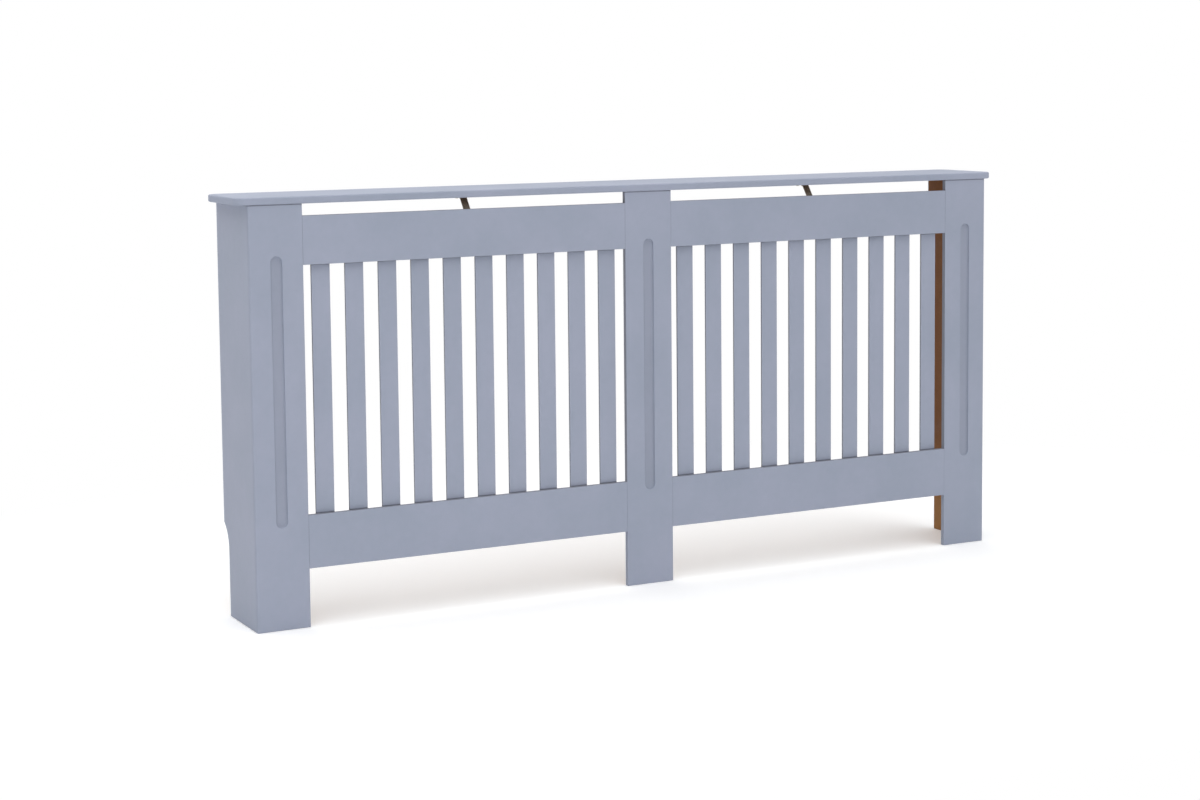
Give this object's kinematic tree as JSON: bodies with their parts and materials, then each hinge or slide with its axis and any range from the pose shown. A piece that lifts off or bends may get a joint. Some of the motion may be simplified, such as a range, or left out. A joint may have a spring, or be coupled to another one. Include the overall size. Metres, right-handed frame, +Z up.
{
  "type": "radiator cover cabinet",
  "caption": "Low painted cabinet with slatted front bays, fluted posts and a shelf top that stands over a wall radiator and lets its heat out.",
  "frame": {"origin": "on the floor, in the middle of the top panel's width and depth", "axes": "+X along the wall to the viewer's right when facing the front, +Y from the front to the wall, +Z up"},
  "size_m": [1.72, 0.19, 0.815],
  "materials": {
    "painted_mdf": "satin paint over fibreboard, raw fibreboard on the hidden faces",
    "dowel_wood": "plain beech",
    "strap_steel": "dark satin coating",
    "bracket_steel": "zinc plated",
    "screw_steel": "zinc plated"
  },
  "bodies": {
    "root": {"brace_screws": "screw_steel", "bracket_screws": "screw_steel", "centre_bracket": "bracket_steel", "centre_post": "painted_mdf", "left_brace": "strap_steel", "left_front_bracket": "bracket_steel", "left_lower_rail": "painted_mdf", "left_post": "painted_mdf", "left_rear_bracket": "bracket_steel", "left_side_panel": "painted_mdf", "left_slat_01": "painted_mdf", "left_slat_02": "painted_mdf", "left_slat_03": "painted_mdf", "left_slat_04": "painted_mdf", "left_slat_05": "painted_mdf", "left_slat_06": "painted_mdf", "left_slat_07": "painted_mdf", "left_slat_08": "painted_mdf", "left_slat_09": "painted_mdf", "left_slat_10": "painted_mdf", "left_upper_rail": "painted_mdf", "left_wall_bracket": "bracket_steel", "rail_dowels": "dowel_wood", "right_brace": "strap_steel", "right_front_bracket": "bracket_steel", "right_lower_rail": "painted_mdf", "right_post": "painted_mdf", "right_rear_bracket": "bracket_steel", "right_side_panel": "painted_mdf", "right_slat_01": "painted_mdf", "right_slat_02": "painted_mdf", "right_slat_03": "painted_mdf", "right_slat_04": "painted_mdf", "right_slat_05": "painted_mdf", "right_slat_06": "painted_mdf", "right_slat_07": "painted_mdf", "right_slat_08": "painted_mdf", "right_slat_09": "painted_mdf", "right_slat_10": "painted_mdf", "right_upper_rail": "painted_mdf", "right_wall_bracket": "bracket_steel", "side_dowels": "dowel_wood", "top_dowels": "dowel_wood", "top_panel": "painted_mdf", "wall_bracket_screws": "screw_steel"}
  },
  "joints": []
}
